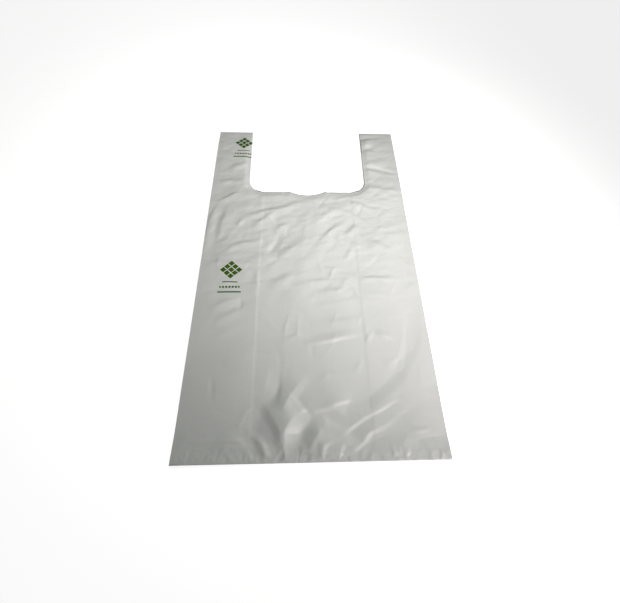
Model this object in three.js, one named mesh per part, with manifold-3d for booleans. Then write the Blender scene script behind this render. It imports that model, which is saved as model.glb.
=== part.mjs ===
// Vest-style carrier bag of thin plastic film, lying flat.
// It is one piece: a blown tube of film with a gusset tucked into each side, welded shut across
// both ends and then die cut at the top, which leaves the mouth and two loop handles.
// Millimetres, +Z up. X runs across the bag and Y from the base weld to the handles. The origin
// is at the middle of the lying bag, on the surface under it.
import * as THREE from "three";
import { mergeVertices } from "three/addons/utils/BufferGeometryUtils.js";
import Module from "manifold-3d";

// Film tube
const FLAT_WIDTH = 280; // across the lying bag, from side crease to side crease
const BAG_LENGTH = 480; // from the base edge to the handle tops
const GUSSET_DEPTH = 75; // how far each side is tucked in
const FILM = 0.02; // gauge of the film
const CREASE = 0.5; // width of a pressed crease, where the film lies on itself
const LOFT = 3; // height of the lying bag, with the air that stays in it

// End welds
const WELD_WIDTH = 4; // band in which all the layers are fused
const WELD_BEAD = 0.15; // thickness of that band
const SETTLE = 45; // length over which the layers close down on a weld
const SETTLE_STEPS = 6; // facets along that length

// Die cut
const CUT_DEPTH = 128; // from the handle tops down to the mouth
const CUT_RADIUS = 22; // corners between the handles and the mouth
const HANDLE_WIDTH = 53; // at the handle's top
const HANDLE_FLARE = 1.5; // width that a handle gains down to its root
const TAB_WIDTH = 54; // root of the hanging tab, which has been torn off
const TEAR_DEPTH = 6; // how far the tear dips below the mouth's edge
const NUB_WIDTH = 3; // point of film left standing at each end of the tear
const NUB_HEIGHT = 1.6;
const CURVE_STEPS = 10; // facets on each curved stretch of the cut

// Overrun of a cutting body past the film
const OVERRUN = 2;

const sideCrease = FLAT_WIDTH / 2;
const gussetCrease = sideCrease - GUSSET_DEPTH;
const endEdge = BAG_LENGTH / 2;
const weldLine = endEdge - WELD_WIDTH;
const mouthEdge = endEdge - CUT_DEPTH;

const wasm = await Module();
wasm.setup();

// A closed geometry as a solid that can be joined and cut.
function solidOf(geometry) {
  const bare = geometry.clone();
  bare.deleteAttribute("normal");
  bare.deleteAttribute("uv");
  const merged = mergeVertices(bare);
  return new wasm.Manifold(
    new wasm.Mesh({
      numProp: 3,
      vertProperties: merged.getAttribute("position").array,
      triVerts: new Uint32Array(merged.index.array),
    }),
  );
}

// A finished solid as flat-shaded geometry.
function geometryOf(solid) {
  const mesh = solid.getMesh();
  const geometry = new THREE.BufferGeometry();
  geometry.setAttribute("position", new THREE.BufferAttribute(mesh.vertProperties, 3));
  geometry.setIndex(new THREE.BufferAttribute(mesh.triVerts, 1));
  const faceted = geometry.toNonIndexed();
  faceted.computeVertexNormals();
  return faceted;
}

// Height of the lying bag at y: the bead on the welds, swelling smoothly to the loft between them.
function height(y) {
  const share = THREE.MathUtils.smoothstep(weldLine - Math.abs(y), 0, SETTLE);
  return THREE.MathUtils.lerp(WELD_BEAD, LOFT, share);
}

// Places along the bag where the section is drawn, from one weld line to the other.
function stationsBetweenWelds() {
  const towardsHandles = [];
  for (let i = 0; i <= SETTLE_STEPS; i++) {
    towardsHandles.push(weldLine - SETTLE * (1 - i / SETTLE_STEPS));
  }
  return [...towardsHandles.map((y) => -y).reverse(), ...towardsHandles];
}

// A solid through one closed section per station. outline(y) gives the section's corners as
// (x, z), anticlockwise seen from the base of the bag, with as many corners at every station.
// A facet with four corners is split along its shorter diagonal, so that layers of film which run
// side by side keep their distance where the facets are twisted.
function loft(stations, outline) {
  const sections = stations.map(outline);
  const corners = sections[0].length;
  const points = sections.flatMap((section, i) =>
    section.map((p) => new THREE.Vector3(p.x, stations[i], p.y)),
  );
  const index = [];
  for (let i = 0; i < stations.length - 1; i++) {
    for (let j = 0; j < corners; j++) {
      const near = i * corners + j;
      const nearNext = i * corners + ((j + 1) % corners);
      const far = near + corners;
      const farNext = nearNext + corners;
      if (points[near].distanceTo(points[farNext]) < points[far].distanceTo(points[nearNext])) {
        index.push(near, farNext, nearNext, near, far, farNext);
      } else {
        index.push(near, far, nearNext, nearNext, far, farNext);
      }
    }
  }
  const farSection = (stations.length - 1) * corners;
  for (const [a, b, c] of THREE.ShapeUtils.triangulateShape(sections[0], [])) {
    index.push(a, b, c);
  }
  for (const [a, b, c] of THREE.ShapeUtils.triangulateShape(sections.at(-1), [])) {
    index.push(farSection + a, farSection + c, farSection + b);
  }
  const geometry = new THREE.BufferGeometry().setFromPoints(points);
  geometry.setIndex(index);
  return solidOf(geometry);
}

const corner = (x, z) => new THREE.Vector2(x, z);

// Corners of the right-hand side carried over to the left, with the section still anticlockwise.
const mirrored = (corners) => corners.map((p) => corner(-p.x, p.y)).reverse();

// Outside of the lying bag, welds included.
function envelope() {
  return loft([-endEdge, ...stationsBetweenWelds(), endEdge], (y) => {
    const rightSide = [corner(sideCrease, 0), corner(sideCrease, height(y))];
    return [...rightSide, ...mirrored(rightSide)];
  });
}

// Room inside the bag. The two tucked gussets come into it as flat wedges of doubled film.
function cavity() {
  return loft(stationsBetweenWelds(), (y) => {
    const top = height(y);
    const rightSide = [
      corner(sideCrease - CREASE, FILM),
      corner(gussetCrease + CREASE, top / 2 - FILM),
      corner(gussetCrease, top / 2 - FILM),
      corner(gussetCrease, top / 2 + FILM),
      corner(gussetCrease + CREASE, top / 2 + FILM),
      corner(sideCrease - CREASE, top - FILM),
    ];
    return [...rightSide, ...mirrored(rightSide)];
  });
}

// Section of the fold in the right-hand gusset, which is open to the side of the bag.
function pocketOutline(y) {
  const top = height(y);
  return [
    corner(sideCrease - CREASE, 2 * FILM),
    corner(sideCrease + OVERRUN, 2 * FILM),
    corner(sideCrease + OVERRUN, top - 2 * FILM),
    corner(sideCrease - CREASE, top - 2 * FILM),
    corner(gussetCrease + CREASE, top / 2),
  ];
}

// What the die takes out between the handles, with the torn root of the hanging tab.
function dieCut() {
  const topHalf = sideCrease - HANDLE_WIDTH;
  const rootHalf = topHalf - HANDLE_FLARE;
  const nub = TAB_WIDTH / 2;
  const outline = new THREE.Shape();
  outline.moveTo(-topHalf, endEdge + OVERRUN);
  outline.lineTo(-rootHalf, mouthEdge + CUT_RADIUS);
  outline.absarc(CUT_RADIUS - rootHalf, mouthEdge + CUT_RADIUS, CUT_RADIUS, Math.PI, 1.5 * Math.PI);
  outline.lineTo(-nub - NUB_WIDTH, mouthEdge);
  outline.lineTo(-nub, mouthEdge + NUB_HEIGHT);
  outline.quadraticCurveTo(0, mouthEdge - NUB_HEIGHT - 2 * TEAR_DEPTH, nub, mouthEdge + NUB_HEIGHT);
  outline.lineTo(nub + NUB_WIDTH, mouthEdge);
  outline.absarc(rootHalf - CUT_RADIUS, mouthEdge + CUT_RADIUS, CUT_RADIUS, 1.5 * Math.PI, 2 * Math.PI);
  outline.lineTo(topHalf, endEdge + OVERRUN);
  const geometry = new THREE.ExtrudeGeometry(outline, {
    depth: LOFT + 2 * OVERRUN,
    bevelEnabled: false,
    curveSegments: CURVE_STEPS,
  });
  return solidOf(geometry.translate(0, 0, -OVERRUN));
}

// The folded and welded tube, cut open at the mouth.
function bagGeometry() {
  const rightPocket = loft(stationsBetweenWelds(), pocketOutline);
  const leftPocket = loft(stationsBetweenWelds(), (y) => mirrored(pocketOutline(y)));
  const tube = envelope().subtract(cavity()).subtract(rightPocket).subtract(leftPocket);
  return geometryOf(tube.subtract(dieCut()));
}

const whiteFilm = new THREE.MeshStandardMaterial({
  color: 0xcdcecb,
  roughness: 0.38,
  metalness: 0,
  side: THREE.DoubleSide,
});

const carrierBag = new THREE.Mesh(bagGeometry(), whiteFilm);
carrierBag.name = "carrier_bag";

const part = new THREE.Group();
part.add(carrierBag);

export default part;
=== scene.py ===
"""A vest-style carrier bag of thin white film, lying flat and lightly creased."""
import math

import bpy
import numpy as np
from mathutils import Matrix, Vector


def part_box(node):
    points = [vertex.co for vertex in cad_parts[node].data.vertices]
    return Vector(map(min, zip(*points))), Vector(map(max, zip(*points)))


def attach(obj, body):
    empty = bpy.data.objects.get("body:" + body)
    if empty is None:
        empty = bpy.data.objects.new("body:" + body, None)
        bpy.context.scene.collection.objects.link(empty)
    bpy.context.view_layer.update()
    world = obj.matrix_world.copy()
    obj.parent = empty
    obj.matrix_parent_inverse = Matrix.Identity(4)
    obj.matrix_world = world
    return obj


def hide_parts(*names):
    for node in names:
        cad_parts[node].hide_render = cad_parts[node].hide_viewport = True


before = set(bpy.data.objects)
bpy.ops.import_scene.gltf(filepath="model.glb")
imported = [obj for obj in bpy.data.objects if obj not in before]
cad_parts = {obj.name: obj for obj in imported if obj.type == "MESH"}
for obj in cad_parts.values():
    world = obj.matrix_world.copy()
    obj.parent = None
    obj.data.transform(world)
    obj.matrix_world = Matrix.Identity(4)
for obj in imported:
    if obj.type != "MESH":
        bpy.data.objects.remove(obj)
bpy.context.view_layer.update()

# Film tube
# The bag starts as one endless tube of blown film, laid flat with a gusset tucked into each side.
# Going round it, the layers are: left gusset, front panel, right gusset, back panel.
# The sizes below are in millimetres, as on the bag maker's sheet, and become metres in the mesh.

MM = 0.001
low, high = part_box("carrier_bag")
SIDE = high.x / MM
END = high.y / MM
GUSSET_DEPTH = 75.0
GUSSET_FOLD = SIDE - GUSSET_DEPTH
# The real film is half as thick as it is drawn here.
DRAWN_GAUGE = 0.04

# Grid steps: fine where the film is creased or cut, wide where it lies plain.
BASE_STEP, BODY_STEP, MOUTH_STEP, HANDLE_STEP = 1.4, 2.0, 1.3, 2.4
FRONT_STEP, FOLD_STEP, GUSSET_COLUMNS, BACK_COLUMNS = 1.8, 1.2, 6, 18


def spaced(stops, steps):
    """Numbers through all the stops in order, about one step apart in each stretch between two."""
    runs = []
    for start, stop, step in zip(stops, stops[1:], steps):
        count = max(1, round(abs(stop - start) / step))
        runs.append(np.linspace(start, stop, count, endpoint=False))
    return np.concatenate([*runs, [stops[-1]]])


along = spaced(
    [-END, -165.0, 96.0, 118.0, END],
    [BASE_STEP, BODY_STEP, MOUTH_STEP, HANDLE_STEP],
)
# Distances from the bag's middle at which the front panel's columns change their step: the points
# that stand at the ends of the torn tab, the gusset's fold and the side crease.
TEAR_HALF, NUB_WIDTH = 27.0, 3.0
half_stops = [0.0, TEAR_HALF, TEAR_HALF + NUB_WIDTH, GUSSET_FOLD - 6, GUSSET_FOLD + 6, SIDE - 4, SIDE]
half_steps = [FRONT_STEP, 1.0, FRONT_STEP, FOLD_STEP, FRONT_STEP, 1.0]
half_front = spaced(half_stops, half_steps)
front_columns = np.concatenate([-half_front[:0:-1], half_front])
gusset_columns = np.linspace(SIDE, GUSSET_FOLD, GUSSET_COLUMNS)
back_columns = np.linspace(SIDE, -SIDE, BACK_COLUMNS + 1)


def fold_share(x):
    """Place of a gusset's upper layer between the back panel, 0, and the front panel, 1, at distance
    x from the bag's middle: a half at the inner fold and 1 at the side crease, round at both."""
    t = np.clip((np.abs(x) - GUSSET_FOLD) / GUSSET_DEPTH, 0.0, 1.0)
    return 0.5 + 0.25 * (np.sqrt(t) + 1.0 - np.sqrt(1.0 - t))


# One column of the tube each: place across the bag, and share of the height between back and front.
# The last column of each layer is the first of the next, and the tube closes on its first column.
across = np.concatenate([
    -gusset_columns[:-1],
    -gusset_columns[:0:-1],
    front_columns[:-1],
    gusset_columns[:-1],
    gusset_columns[:0:-1],
    back_columns[:-1],
])
share = np.concatenate([
    1.0 - fold_share(gusset_columns[:-1]),
    fold_share(gusset_columns[:0:-1]),
    np.ones(len(front_columns) - 1),
    fold_share(gusset_columns[:-1]),
    1.0 - fold_share(gusset_columns[:0:-1]),
    np.zeros(len(back_columns) - 1),
])
tube_columns = len(across)
tube_rows = len(along)
# Distance round the flat tube, from the seam between the left gusset and the back panel.
next_across = np.roll(across, -1)
round_tube = np.concatenate([[0.0], np.cumsum(np.abs(next_across - across))])
FRONT_MIDDLE = 2 * GUSSET_DEPTH + SIDE

x_flat, y_flat = (a.copy() for a in np.meshgrid(across, along))
share_grid = np.broadcast_to(share, x_flat.shape)

# Die cut
# One stroke of a die through all the layers leaves the mouth and the two handles. The small tab that
# the bags of a pack hang by was left standing at the mouth's edge, and has been torn off since.

CUT_DEPTH, CUT_RADIUS = 128.0, 22.0
HANDLE_WIDTH, HANDLE_FLARE = 53.0, 1.5
TEAR_DEPTH, NUB_HEIGHT = 6.0, 1.6
MOUTH = END - CUT_DEPTH


def mouth_rise(x):
    """The mouth's edge against its straight line: a small point at each end of the torn tab, and the
    parabola of the tear between them."""
    off = np.abs(x)
    point = NUB_HEIGHT * np.clip(1.0 - (off - TEAR_HALF) / NUB_WIDTH, 0.0, 1.0)
    tear = (TEAR_DEPTH + NUB_HEIGHT) * (off / TEAR_HALF) ** 2 - TEAR_DEPTH
    return np.where(off < TEAR_HALF, tear, point)


def cut_distance(x, y):
    """Distance of the flat film from the cut, negative inside it: that of a box with round corners
    which has no top, with its lower edge bent to the mouth's points and tear."""
    up = y - mouth_rise(x) - MOUTH
    spread = np.clip((up - CUT_RADIUS) / (CUT_DEPTH - CUT_RADIUS), 0.0, 1.0)
    half = SIDE - HANDLE_WIDTH - HANDLE_FLARE * (1.0 - spread)
    outside_x = np.abs(x) - half + CUT_RADIUS
    outside_y = CUT_RADIUS - up
    corner = np.hypot(np.maximum(outside_x, 0.0), np.maximum(outside_y, 0.0))
    return corner + np.minimum(np.maximum(outside_x, outside_y), 0.0) - CUT_RADIUS


next_column = np.roll(np.arange(tube_columns), -1)
x_middle = (across + next_across)[None, :] / 2
y_middle = ((along[1:] + along[:-1]) / 2)[:, None]
kept = cut_distance(x_middle, y_middle) > 0.0
# How many facets each corner of the grid keeps, of the four round it or the two at the tube's ends.
rows_of_kept = np.pad(kept, ((1, 1), (0, 0))).astype(int)
facets_kept = rows_of_kept[1:] + rows_of_kept[:-1]
facets_kept = facets_kept + np.roll(facets_kept, 1, axis=1)
facets_whole = np.full(facets_kept.shape, 4)
facets_whole[[0, -1]] = 2
on_cut = (facets_kept > 0) & (facets_kept < facets_whole)

# The corners along the cut move on to it, down the slope of the distance.
PROBE = 0.01
for _ in range(4):
    x_cut, y_cut = x_flat[on_cut], y_flat[on_cut]
    gap = cut_distance(x_cut, y_cut)
    slope_x = (cut_distance(x_cut + PROBE, y_cut) - gap) / PROBE
    slope_y = (cut_distance(x_cut, y_cut + PROBE) - gap) / PROBE
    steep = np.maximum(slope_x**2 + slope_y**2, 0.2)
    x_flat[on_cut] -= gap * slope_x / steep
    y_flat[on_cut] = np.minimum(y_cut - gap * slope_y / steep, END)

# Lying film
# The back panel lies on the table. A little air holds the front panel off it, and the gussets lie
# between the two. The film is crumpled all over from its pack, and most of all above the base.

WELD_WIDTH = 4.0
WELD_STACK = 0.25
BASE_SETTLE, HANDLE_SETTLE, EDGE_SETTLE = 26.0, 30.0, 40.0
BODY_LOFT, EDGE_LOFT = 1.3, 0.5
GUSSET_STEP, GUSSET_STEP_WIDTH = 0.22, 2.6
# Roundness of a crease's top, and what the rises in the two lists below are multiplied by.
CREST = 0.12
CREASE_RISE, RIDGE_RISE = 1.4, 1.5
BASE_CURL, BASE_CURL_LENGTH = 3.0, 32.0


def smooth(t):
    """0 below 0, 1 above 1, and a smooth rise between."""
    t = np.clip(t, 0.0, 1.0)
    return t * t * (3.0 - 2.0 * t)


def curve_through(points, steps=8):
    """A smooth curve through the points: Catmull-Rom pieces, each cut into equal steps."""
    p = np.asarray(points, float)
    p = np.concatenate([[2 * p[0] - p[1]], p, [2 * p[-1] - p[-2]]])
    t = np.linspace(0.0, 1.0, steps, endpoint=False)[:, None]
    pieces = []
    for a, b, c, d in zip(p, p[1:], p[2:], p[3:]):
        bend = (2 * a - 5 * b + 4 * c - d) * t**2 + (3 * b - a - 3 * c + d) * t**3
        pieces.append(b + 0.5 * ((c - a) * t + bend))
    return np.concatenate([*pieces, p[-2:-1]])


def flat_flank(distance):
    """The profile of a crease: a straight slope from 1 down to nothing at 1, with a soft foot."""
    foot = 0.1
    tent = 1.0 - distance
    return 0.5 * (tent + np.sqrt(tent**2 + foot**2))


def press(height, x, y, path, left, right):
    """Adds a crease to the height. The path has points (x, y, rise), and the crease is the rise where
    the path is nearest, times the profile of the distance from it over the flank's width. left and
    right are the widths of the flanks on the two sides, which blend round the path's ends."""
    route = curve_through(path)
    reach = 7.0 * max(left, right)
    near = (x > route[:, 0].min() - reach) & (x < route[:, 0].max() + reach)
    near &= (y > route[:, 1].min() - reach) & (y < route[:, 1].max() + reach)
    start, step = route[:-1, :2], np.diff(route[:, :2], axis=0)
    off_x, off_y = x[near] - start[:, :1], y[near] - start[:, 1:]
    length_2 = np.maximum((step**2).sum(1), 1e-9)[:, None]
    t = np.clip((off_x * step[:, :1] + off_y * step[:, 1:]) / length_2, 0.0, 1.0)
    distance = np.hypot(off_x - t * step[:, :1], off_y - t * step[:, 1:])
    nearest = distance.argmin(0)
    pick = (nearest, np.arange(distance.shape[1]))
    side = (step[:, :1] * off_y - step[:, 1:] * off_x) / np.sqrt(length_2) / np.maximum(distance, 1e-6)
    flank = right + (left - right) * (0.5 + 0.5 * np.clip(side[pick], -1.0, 1.0))
    rise = route[nearest, 2] + t[pick] * (route[nearest + 1, 2] - route[nearest, 2])
    height[near] += rise * flat_flank((np.sqrt(distance[pick] ** 2 + CREST**2) - CREST) / flank)


# Creases in the front panel: points, greatest rise, left flank, right flank. A rise below 0 is a
# furrow.
CREASES = [
    # right handle
    ([(80, 167), (110, 158), (144, 148)], -1.5, 5, 5),
    ([(80, 227), (105, 230), (134, 234)], -1.2, 6, 5),
    ([(80, 216), (100, 222), (116, 227)], 0.8, 5, 13),
    ([(80, 203), (94, 203), (110, 207)], -0.8, 9, 8),
    ([(84, 123), (102, 118), (124, 111)], 0.7, 8, 8),
    # left handle
    ([(-144, 124), (-120, 131), (-100, 130), (-84, 125)], 1.1, 6, 7),
    ([(-132, 88), (-112, 102), (-94, 116)], 1.1, 5, 9),
    ([(-118, 156), (-104, 162), (-90, 170)], 1.0, 8, 10),
    ([(-136, 192), (-118, 186), (-92, 184)], 0.7, 8, 8),
    # below the mouth, left
    ([(-100, 65), (-75, 70), (-55, 76), (-38, 79), (-20, 87), (8, 94)], 1.1, 6, 10),
    ([(-78, 45), (-66, 57), (-54, 67), (-42, 74)], 0.8, 5, 8),
    ([(-98, 46), (-94, 56), (-87, 66)], 0.5, 4, 5),
    ([(-126, 92), (-135, 66), (-137, 40), (-137, -4)], 1.1, 10, 4),
    ([(-110, 88), (-116, 66), (-120, 46), (-121, 30)], 0.9, 14, 6),
    ([(-112, 6), (-98, 17), (-76, 22), (-60, 28)], 1.0, 5, 8),
    ([(-144, -10), (-110, -9), (-78, -11), (-50, -13)], 0.6, 4, 5),
    ([(-46, 40), (-36, 49), (-24, 52)], 0.7, 6, 5),
    ([(-40, 62), (-30, 63), (-18, 62)], 0.4, 4, 5),
    ([(-56, -2), (-46, 16), (-36, 40)], -0.8, 6, 8),
    ([(-46, -12), (-24, 10), (4, 34)], 0.7, 9, 13),
    # below the mouth, right
    ([(2, 58), (22, 66), (42, 82)], 0.7, 8, 8),
    ([(12, 20), (26, 35), (36, 46), (54, 56)], 0.8, 5, 11),
    ([(48, 32), (58, 40), (70, 58)], 0.5, 5, 7),
    ([(54, 96), (72, 88), (86, 81), (104, 74)], 0.6, 5, 10),
    ([(34, 82), (58, 71), (76, 58), (98, 38)], 0.6, 6, 9),
    ([(74, 28), (94, 17), (116, 3)], 0.8, 7, 9),
    ([(58, 24), (63, 18), (72, 14)], 0.5, 4, 5),
    ([(46, -8), (54, 4), (60, 18)], 0.6, 5, 7),
    ([(8, -18), (26, -18), (48, -14)], 0.5, 5, 8),
    # middle
    ([(-50, -43), (-30, -33), (-4, -25)], 0.8, 8, 9),
    ([(-80, -41), (-68, -40), (-54, -41)], 0.5, 3, 5),
    ([(-85, -58), (-84, -68), (-85, -78)], -0.5, 2.5, 3),
    ([(-124, -75), (-104, -66), (-84, -63)], 0.9, 6, 8),
    ([(-116, -92), (-96, -82), (-78, -77)], 0.7, 6, 7),
    ([(-112, -110), (-95, -101), (-78, -96)], 0.5, 6, 8),
    ([(24, -35), (29, -25), (34, -15)], 0.4, 3, 3),
    ([(-10, -39), (15, -37.5), (38, -36)], 0.7, 5, 5),
    ([(56, -33.5), (84, -33.5), (118, -34)], 1.1, 4, 5),
    ([(40, -44), (45, -38), (52, -32)], 0.4, 4, 6),
    ([(8, -53), (26, -52), (44, -49)], 0.4, 5, 5),
    ([(60, -57), (84, -56), (112, -60)], 0.5, 6, 6),
    ([(36, -64), (62, -63), (94, -67)], 0.6, 5, 6),
    ([(6, -71), (26, -69), (44, -67)], 0.5, 5, 5),
    ([(4, -92), (36, -92), (66, -88)], 0.7, 6, 8),
    ([(-8, -118), (6, -117.5), (24, -114.5), (44, -110), (62, -107)], 1.4, 9, 2.6),
    ([(64, -118), (68, -112), (76, -101)], 0.6, 4, 4),
    ([(76, -106), (86, -109.5), (99, -115)], 1.2, 7, 3),
    ([(-36, -116), (-18, -110), (-2, -111)], 0.5, 4, 5),
    ([(-46, -146), (-49, -160), (-53, -178)], 0.5, 4, 12),
    ([(-34, -150), (-36, -166), (-38, -186)], -0.7, 4, 9),
    ([(12, -162), (20, -154), (54, -153)], 0.6, 6, 3),
    ([(48, -152), (54, -145), (58, -136)], 0.5, 5, 4),
    ([(-108, -156), (-107, -168), (-106, -184)], -0.5, 3, 4),
    ([(82, -142), (92, -140), (104, -135)], 0.3, 3, 3),
    ([(-104, -221), (-84, -219), (-60, -223)], 0.8, 4, 9),
]

# Larger ridges and furrows above the base: points with their rise, left flank, right flank.
RIDGES = [
    (
        [(-58, -177, 0.2), (-49, -186, 0.8), (-39, -200, 1.4), (-33, -210, 1.7), (-31, -220, 1.6),
         (-28, -230, 1.0), (-26, -237, 0.4)],
        22, 8,
    ),
    (
        [(-27, -230, 0.5), (-28, -218, 3.0), (-28, -210, 4.2), (-22, -201, 4.5), (-14, -193, 2.8),
         (-8, -187.5, 0.1)],
        30, 15,
    ),
    (
        [(-14, -193, 0.1), (-7, -189, 1.2), (4, -191, 1.7), (17, -189, 1.7), (27, -191, 1.3),
         (35, -195, 0.1)],
        30, 3.6,
    ),
    ([(18, -199, 0.1), (13, -206, 1.8), (5, -216, 3.1), (-2, -226, 2.7), (-7, -237, 0.6)], 50, 14),
    ([(17, -188, 0.2), (24, -184.5, 1.0), (33, -182, 1.1), (44, -180, 0.2)], 9, 4.5),
    (
        [(106, -175, 0.1), (96, -180, 0.3), (87, -183, 0.5), (73, -191, 0.8), (61, -196, 0.9),
         (50, -202, 1.0), (39, -209, 0.9), (32, -214, 0.6), (27, -219, 0.1)],
        3.2, 20,
    ),
    (
        [(103, -187, 0.1), (89, -198, 0.2), (75, -207, 0.6), (66, -210, 0.9), (58, -214, 1.1),
         (52, -221, 1.2), (44, -226, 1.2), (38, -225, 1.2), (33, -223, 1.2), (29, -227, 0.9),
         (27, -237, 0.3)],
        4.4, 13,
    ),
    ([(24, -219, 0.3), (16, -222, 1.0), (10, -227, 1.3), (9, -237, 0.4)], 4, 6),
    ([(-4, -156, 0.2), (-12, -163, 1.0), (-20, -172, 1.5), (-27, -183, 1.4), (-32, -192, 0.2)], 8, 15),
    (
        [(122, -78, -0.1), (121, -98, -0.5), (116, -118, -0.7), (108, -135, -0.7), (96, -150, -0.5),
         (88, -157, -0.1)],
        11, 9,
    ),
    ([(108, -142, -0.1), (94, -156, -0.8), (80, -166, -1.0), (64, -177, -1.0), (42, -190, -0.1)], 11, 26),
    ([(80, -237, 0.2), (90, -226, 0.6), (102, -212, 0.4), (120, -196, 0.1)], 8, 24),
    ([(-64, -214, 0.2), (-54, -220, 1.1), (-48, -229, 1.5), (-46, -238, 0.6)], 5, 6),
]


def pack_folds(x, y):
    """The listed creases and ridges together. A crease rises and falls in an arc along its path."""
    total = np.zeros_like(x)
    for points, rise, left, right in CREASES:
        arc = np.sin(np.linspace(0.0, math.pi, len(points)))
        path = [(*point, CREASE_RISE * rise * share) for point, share in zip(points, arc)]
        press(total, x, y, path, left, right)
    for points, left, right in RIDGES:
        path = [(*point[:2], RIDGE_RISE * point[2]) for point in points]
        press(total, x, y, path, left, right)
    return total


def crumple(x, y, cell_x, cell_y, turn, chance):
    """Flat facets that meet in straight creases. There is one random point in each cell of a turned
    grid, and the height is the squared distance to the second nearest point less that to the
    nearest, which is a flat slope wherever those two points stay the same. It is about 0 to 1."""
    turn = math.radians(turn)
    grid_x = (x * math.cos(turn) + y * math.sin(turn)) / cell_x
    grid_y = (y * math.cos(turn) - x * math.sin(turn)) / cell_y
    column, row = np.floor(grid_x).astype(int), np.floor(grid_y).astype(int)
    around = 2
    first_column, first_row = column.min() - around, row.min() - around
    spots = chance.random((row.max() - first_row + around + 1, column.max() - first_column + around + 1, 2))
    nearest = np.full(x.shape, 9.0)
    second = np.full(x.shape, 9.0)
    for step_row in range(-around, around + 1):
        for step_column in range(-around, around + 1):
            at_row, at_column = row + step_row, column + step_column
            spot = spots[at_row - first_row, at_column - first_column]
            distance = (at_column + spot[..., 0] - grid_x) ** 2 + (at_row + spot[..., 1] - grid_y) ** 2
            second = np.minimum(second, np.maximum(nearest, distance))
            nearest = np.minimum(nearest, distance)
    return second - nearest


def small_creases(x, y, chance):
    """A scatter of short, faint creases all over the panel, each a bent stroke in a random direction
    that keeps mostly to the diagonals."""
    total = np.zeros_like(x)
    for _ in range(150):
        middle = np.array([chance.uniform(-SIDE, SIDE), chance.uniform(-END, END), 0.0])
        turn = math.radians(chance.choice([35.0, -35.0, 0.0, 80.0]) + chance.normal(0.0, 16.0))
        reach = chance.uniform(7.0, 24.0) * np.array([math.cos(turn), math.sin(turn), 0.0])
        bend = chance.normal(0.0, 0.14) * np.array([-reach[1], reach[0], 0.0])
        bend[2] = chance.uniform(0.15, 0.5) * chance.choice([1.0, 1.0, -1.0])
        flanks = chance.uniform(2.0, 6.0, 2)
        press(total, x, y, [middle - reach, middle + bend, middle + reach], *flanks)
    return total


def base_gathers(x, y, chance):
    """Small pleats that fan up out of the base weld, where the heat has drawn the film in."""
    total = np.zeros_like(x)
    at = 6.0 - SIDE
    while at < SIDE - 6:
        foot = np.array([at, -END + 1.0, 0.3])
        tip = foot + chance.uniform(6.0, 18.0) * np.array([chance.normal(0.2, 0.35), 1.0, 0.0])
        middle = 0.5 * (foot + tip)
        middle[0] += chance.normal(0.0, 0.6)
        middle[2] = chance.uniform(0.3, 0.75)
        tip[2] = 0.0
        press(total, x, y, [foot, middle, tip], *chance.uniform(1.8, 4.2, 2))
        at += chance.uniform(5.0, 13.0)
    return total


def slow_swell(x, y, chance):
    """The film's slow unevenness: a sum of a few waves of random direction and length."""
    total = np.zeros_like(x)
    for _ in range(10):
        turn = chance.uniform(0.0, math.pi)
        wave = 2 * math.pi / chance.uniform(45.0, 130.0)
        total += np.sin(wave * (x * math.cos(turn) + y * math.sin(turn)) + chance.uniform(0.0, 2 * math.pi))
    return total / 10


chance = np.random.default_rng(28)
from_base = smooth((y_flat + END - WELD_WIDTH) / BASE_SETTLE)
from_top = smooth((END - WELD_WIDTH - y_flat) / HANDLE_SETTLE)
from_side = smooth((SIDE - np.abs(x_flat)) / EDGE_SETTLE)
off_weld = smooth((y_flat + END - 1.0) / 8.0) * smooth((END - 1.0 - y_flat) / 8.0)
past_fold = (np.abs(x_flat) - GUSSET_FOLD) / GUSSET_STEP_WIDTH
gusset_lift = GUSSET_STEP * smooth(past_fold + 1.0) * (1.0 - 0.5 * smooth(past_fold / 6.0))
loft = EDGE_LOFT + (BODY_LOFT - EDGE_LOFT) * from_side + gusset_lift
# The lower body came out of the pack smoother than the rest.
calm = smooth((-30.0 - y_flat) / 60.0) * smooth((y_flat + 225.0) / 40.0)
crumpling = 0.58 * crumple(x_flat, y_flat, 40.0, 19.0, 14.0, chance)
crumpling += 0.28 * crumple(x_flat, y_flat, 19.0, 9.0, 8.0, chance)
crumpling *= 1.0 - 0.6 * calm
creases = pack_folds(x_flat, y_flat) + small_creases(x_flat, y_flat, chance) + crumpling
gathers = base_gathers(x_flat, y_flat, chance) * smooth((y_flat + END) / 3.0)
swell = 1.2 * slow_swell(x_flat, y_flat, chance)
off_side = 0.4 + 0.6 * smooth((SIDE - np.abs(x_flat)) / 10.0)
rough_height = loft * from_base * from_top + (creases + swell) * off_weld * off_side + gathers
# Along the cut the layers lie closer together.
rough_height *= 0.15 + 0.85 * smooth(cut_distance(x_flat, y_flat) / 10.0)
# The panels never pass through each other: below a small gap the height levels out.
LEAST_GAP = 0.35
front_height = WELD_STACK + 0.5 * (rough_height + np.sqrt(rough_height**2 + LEAST_GAP**2))

back_lift = 0.2 * from_base * from_top * (1.0 + slow_swell(x_flat, y_flat, chance))
# The welded base stands up a little off the table.
back_lift += BASE_CURL * smooth(1.0 - (y_flat + END) / BASE_CURL_LENGTH)
z_lying = DRAWN_GAUGE / 2 + back_lift + share_grid * front_height

# Film mesh
# The lying tube as one skin, with its true flat size kept in a UV map in metres, and then given its
# drawn thickness, inwards and outwards alike.

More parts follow.
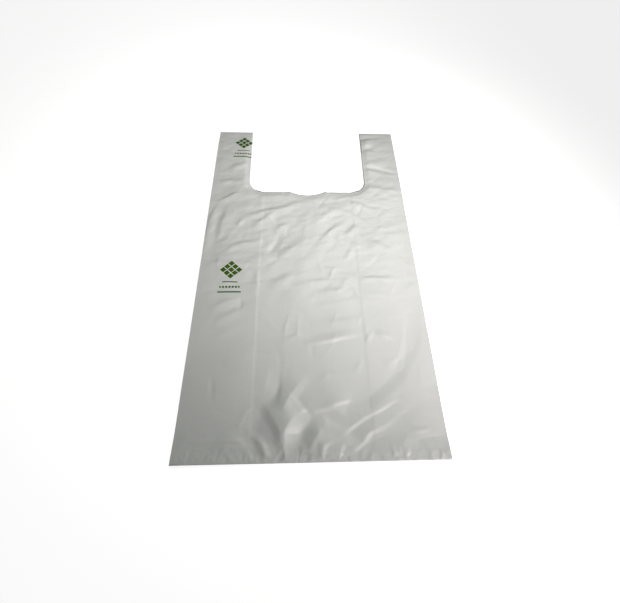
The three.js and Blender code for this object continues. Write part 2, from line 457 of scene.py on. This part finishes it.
row_index = np.arange(tube_rows - 1)[:, None] * tube_columns
this_column = np.arange(tube_columns)[None, :]
corner_index = np.stack([
    row_index + this_column,
    row_index + next_column[None, :],
    row_index + tube_columns + next_column[None, :],
    row_index + tube_columns + this_column,
], axis=-1)[kept]
u_left = np.broadcast_to(round_tube[:-1], kept.shape)
u_right = np.broadcast_to(round_tube[1:], kept.shape)
v_low, v_high = y_flat[:-1], y_flat[1:]
v_low_next, v_high_next = (np.roll(v, -1, axis=1) for v in (v_low, v_high))
film_uv = np.stack([
    np.stack([u_left, v_low], -1),
    np.stack([u_right, v_low_next], -1),
    np.stack([u_right, v_high_next], -1),
    np.stack([u_left, v_high], -1),
], axis=-2)[kept]
film_uv[..., 1] += END

used, corner_index = np.unique(corner_index, return_inverse=True)
corner_index = corner_index.reshape(-1, 4)
points = np.stack([x_flat, y_flat, z_lying], axis=-1).reshape(-1, 3)[used] * MM
mesh = bpy.data.meshes.new("carrier_bag_film")
mesh.from_pydata(points, [], corner_index.tolist())
flat_map = mesh.uv_layers.new(name="flat_film")
flat_map.data.foreach_set("uv", (film_uv.reshape(-1) * MM).astype(np.float32))
mesh.polygons.foreach_set("use_smooth", np.ones(len(mesh.polygons), bool))
mesh.update()
mesh.validate()
# The folds at the sides and in the gussets are sharp.
mesh.set_sharp_from_angle(angle=math.radians(75.0))
bag = bpy.data.objects.new("carrier_bag_film", mesh)
bpy.context.scene.collection.objects.link(bag)
thickness = bag.modifiers.new("film thickness", "SOLIDIFY")
thickness.thickness = DRAWN_GAUGE * MM
thickness.offset = 0.0

# White film
# Pigmented high-density film: milky white with a satin face, drawn lengthwise so that faint streaks
# run along the bag. A small plain ornament in green is printed on the front, over and over.

film = bpy.data.materials.new("white_film")
film.use_nodes = True
nodes, links = film.node_tree.nodes, film.node_tree.links
nodes.clear()


def node(kind, **settings):
    """A shader node with its settings."""
    made = nodes.new(kind)
    for name, value in settings.items():
        setattr(made, name, value)
    return made


def put(socket, value):
    """Links a socket to another node's output, or sets its value."""
    if isinstance(value, bpy.types.NodeSocket):
        links.new(value, socket)
    else:
        socket.default_value = value


def math_node(operation, *values):
    """The result of one Math node."""
    made = node("ShaderNodeMath", operation=operation)
    for socket, value in zip(made.inputs, values):
        put(socket, value)
    return made.outputs[0]


def within(value, centre, half):
    """1 where the value is within half of the centre, else 0, with a soft edge of a tenth of a
    millimetre."""
    off = math_node("ABSOLUTE", math_node("SUBTRACT", value, centre))
    return math_node("MULTIPLY_ADD", math_node("SUBTRACT", half, off), 10000.0, 0.5)


def all_of(*masks):
    """Where all the masks hold: the least of them, cut to 0 to 1."""
    total = masks[0]
    for mask in masks[1:]:
        total = math_node("MINIMUM", total, mask)
    return math_node("MAXIMUM", math_node("MINIMUM", total, 1.0), 0.0)


def any_of(*masks):
    """Where any of the masks holds."""
    total = masks[0]
    for mask in masks[1:]:
        total = math_node("MAXIMUM", total, mask)
    return total


film_place = node("ShaderNodeUVMap", uv_map="flat_film").outputs[0]
parts = node("ShaderNodeSeparateXYZ")
put(parts.inputs[0], film_place)
round_film, up_film = parts.outputs[0], parts.outputs[1]

# Printed ornament, in metres on the flat film: nine small lozenges in one large one, over a thin
# rule, a row of dots and a second rule.
PRINT_X, PRINT_Y, PRINT_REPEAT = -99.5 * MM, -20.0 * MM, 234.0 * MM
LOZENGE_HALF_WIDTH, LOZENGE_HALF_HEIGHT = 15.0 * MM, 13.5 * MM
print_u = FRONT_MIDDLE * MM + PRINT_X
print_v = END * MM + PRINT_Y
print_x = math_node("SUBTRACT", round_film, print_u)
print_y = math_node("SUBTRACT", math_node("FLOORED_MODULO",
    math_node("ADD", up_film, PRINT_REPEAT / 2 - print_v), PRINT_REPEAT), PRINT_REPEAT / 2)
slant_x = math_node("DIVIDE", print_x, LOZENGE_HALF_WIDTH)
slant_y = math_node("DIVIDE", print_y, LOZENGE_HALF_HEIGHT)
lozenge = []
for slant in (math_node("ADD", slant_x, slant_y), math_node("SUBTRACT", slant_x, slant_y)):
    cell = math_node("FRACT", math_node("MULTIPLY_ADD", slant, 1.5, 1.5))
    in_cell = math_node("ABSOLUTE", math_node("SUBTRACT", cell, 0.5))
    lozenge.append(math_node("MULTIPLY_ADD", math_node("SUBTRACT", 0.42, in_cell), 60.0, 0.5))
    in_lozenge = math_node("SUBTRACT", 1.0, math_node("ABSOLUTE", slant))
    lozenge.append(math_node("MULTIPLY_ADD", in_lozenge, 60.0, 0.5))
upper_rule = (within(print_x, 0.0, 9.5 * MM), within(print_y, -17.5 * MM, 0.7 * MM))
lower_rule = (within(print_x, 0.0, 14.5 * MM), within(print_y, -31.5 * MM, 0.9 * MM))
DOT_PITCH, DOT_RADIUS = 4.0 * MM, 1.5 * MM
dot_x = math_node("SUBTRACT", math_node("FLOORED_MODULO",
    math_node("ADD", print_x, DOT_PITCH / 2), DOT_PITCH), DOT_PITCH / 2)
dot_y = math_node("ADD", print_y, 24.5 * MM)
dot_off = math_node("SQRT", math_node("ADD",
    math_node("MULTIPLY", dot_x, dot_x), math_node("MULTIPLY", dot_y, dot_y)))
dots = (within(dot_off, 0.0, DOT_RADIUS), within(print_x, 0.0, 12.5 * MM))
near_print = within(print_x, 0.0, 20.0 * MM)
ink = all_of(any_of(all_of(*lozenge), all_of(*upper_rule), all_of(*lower_rule), all_of(*dots)), near_print)


def noise(vector, scale, detail=2.0, rough=0.5, twist=0.0):
    """The value of a noise texture, 0 to 1. The twist bends its shapes."""
    made = node("ShaderNodeTexNoise")
    put(made.inputs["Vector"], vector)
    put(made.inputs["Scale"], scale)
    put(made.inputs["Detail"], detail)
    put(made.inputs["Roughness"], rough)
    put(made.inputs["Distortion"], twist)
    return made.outputs["Fac"]


def stretched(vector, scale):
    """The vector, stretched by a scale on each axis."""
    made = node("ShaderNodeMapping", vector_type="POINT")
    put(made.inputs["Vector"], vector)
    made.inputs["Scale"].default_value = scale
    return made.outputs[0]


def mix_colour(factor, first, second):
    """A blend of two colours."""
    made = node("ShaderNodeMix", data_type="RGBA", clamp_factor=True)
    put(made.inputs["Factor"], factor)
    put(made.inputs["A"], first)
    put(made.inputs["B"], second)
    return made.outputs["Result"]


FILM_PALE = (0.72, 0.725, 0.705, 1.0)
FILM_GREY = (0.64, 0.65, 0.63, 1.0)
INK_GREEN = (0.046, 0.115, 0.002, 1.0)
streaks = noise(stretched(film_place, (900.0, 12.0, 1.0)), 1.0, 3.0)
clouds = noise(film_place, 26.0, 3.0)
tone = math_node("MULTIPLY_ADD", streaks, 0.45, math_node("MULTIPLY", clouds, 0.55))
film_colour = mix_colour(tone, FILM_PALE, FILM_GREY)
crinkle = noise(film_place, 330.0, 4.0, 0.55)
grain = noise(film_place, 2600.0, 2.0)
# Finer pleats than those in the mesh run up from the base weld.
PLEAT_LENGTH, PLEAT_RELIEF = 18.0 * MM, 20.0
pleat_fade = math_node("SUBTRACT", 1.0, math_node("DIVIDE", up_film, PLEAT_LENGTH))
pleat_fade = math_node("MAXIMUM", pleat_fade, 0.0)
pleats = noise(stretched(film_place, (75.0, 55.0, 1.0)), 1.0, 1.0, 0.4, 0.9)
relief = math_node("MULTIPLY_ADD", grain, 0.12, crinkle)
relief = math_node("MULTIPLY_ADD", math_node("MULTIPLY", pleats, pleat_fade), PLEAT_RELIEF, relief)

surface = node("ShaderNodeBsdfPrincipled")
put(surface.inputs["Base Color"], mix_colour(ink, film_colour, INK_GREEN))
put(surface.inputs["Roughness"], math_node("MULTIPLY_ADD", clouds, 0.14, 0.31))
# The ink is duller than the bare film.
put(surface.inputs["Specular IOR Level"], math_node("MULTIPLY_ADD", ink, -0.4, 0.55))
bump = node("ShaderNodeBump")
put(bump.inputs["Strength"], 0.35)
put(bump.inputs["Distance"], 0.0004)
put(bump.inputs["Height"], relief)
put(surface.inputs["Normal"], bump.outputs[0])
output = node("ShaderNodeOutputMaterial")
put(output.inputs["Surface"], surface.outputs[0])
mesh.materials.append(film)

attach(bag, "root")
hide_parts("carrier_bag")

# Table and light
# A white table top, one soft lamp low on the right near the base and a weaker one behind, and an
# even white room.

table_mesh = bpy.data.meshes.new("table")
TABLE_HALF = 6.0
table_corners = [(TABLE_HALF * i, TABLE_HALF * j, 0.0) for i, j in ((-1, -1), (1, -1), (1, 1), (-1, 1))]
table_mesh.from_pydata(table_corners, [], [(0, 1, 2, 3)])
table = bpy.data.objects.new("table", table_mesh)
table.location.z = -0.0002
bpy.context.scene.collection.objects.link(table)

white_top = bpy.data.materials.new("white_table")
white_top.use_nodes = True
nodes, links = white_top.node_tree.nodes, white_top.node_tree.links
nodes.clear()
TABLE_LIFT = 0.75
paper = node("ShaderNodeBsdfDiffuse")
put(paper.inputs["Color"], (0.86, 0.86, 0.86, 1.0))
lift = node("ShaderNodeEmission")
path = node("ShaderNodeLightPath")
seen = math_node("MAXIMUM", path.outputs["Is Glossy Ray"], path.outputs["Is Transmission Ray"])
seen = math_node("MAXIMUM", path.outputs["Is Camera Ray"], seen)
put(lift.inputs["Strength"], math_node("MULTIPLY", seen, TABLE_LIFT))
both = node("ShaderNodeAddShader")
put(both.inputs[0], paper.outputs[0])
put(both.inputs[1], lift.outputs[0])
output = node("ShaderNodeOutputMaterial")
put(output.inputs["Surface"], both.outputs[0])
table_mesh.materials.append(white_top)

room = bpy.data.worlds.new("room")
bpy.context.scene.world = room
room.use_nodes = True
nodes, links = room.node_tree.nodes, room.node_tree.links
nodes.clear()
ROOM_LIGHT = 0.13
path = node("ShaderNodeLightPath")
sky = node("ShaderNodeBackground")
put(sky.inputs["Color"], (1.0, 1.0, 1.0, 1.0))
put(sky.inputs["Strength"], math_node("MAXIMUM", path.outputs["Is Camera Ray"], ROOM_LIGHT))
output = node("ShaderNodeOutputWorld")
put(output.inputs["Surface"], sky.outputs[0])


def soft_lamp(name, place, aim, size, power, spread, colour):
    """A square area lamp at a place, turned to a point."""
    lamp = bpy.data.lights.new(name, "AREA")
    lamp.size = size
    lamp.energy = power
    lamp.color = colour
    lamp.spread = math.radians(spread)
    holder = bpy.data.objects.new(name, lamp)
    holder.location = place
    holder.rotation_euler = (Vector(aim) - Vector(place)).to_track_quat("-Z", "Y").to_euler()
    bpy.context.scene.collection.objects.link(holder)


soft_lamp("window", (0.50, -0.48, 0.37), (0.0, 0.19, 0.0), 0.3, 1.07, 58.0, (1.0, 0.955, 0.952))
soft_lamp("back_window", (0.14, 0.36, 0.62), (-0.05, -0.06, 0.0), 0.5, 0.46, 76.0, (0.95, 1.0, 0.945))

# Camera
# A phone held over the base of the bag, looking down at it and a little across.

PHOTO_LENS = 17.63
CAMERA_PLACE = (-11.7 * MM, -219.0 * MM, 341.1 * MM)
LOOK_DOWN, LOOK_RIGHT, LEAN = math.radians(65.512), math.radians(4.493), math.radians(3.8)
photo_camera = bpy.data.cameras.new("camera")
photo_camera.sensor_fit = "HORIZONTAL"
photo_camera.sensor_width = 36.0
photo_camera.lens = PHOTO_LENS
photo_camera.clip_start = 0.01
camera = bpy.data.objects.new("camera", photo_camera)
aim = Matrix.Rotation(-LOOK_RIGHT, 4, "Z") @ Matrix.Rotation(math.pi / 2 - LOOK_DOWN, 4, "X")
camera.matrix_world = Matrix.Translation(CAMERA_PLACE) @ aim @ Matrix.Rotation(LEAN, 4, "Z")
bpy.context.scene.collection.objects.link(camera)
bpy.context.scene.camera = camera
bpy.context.scene.view_settings.view_transform = "Standard"
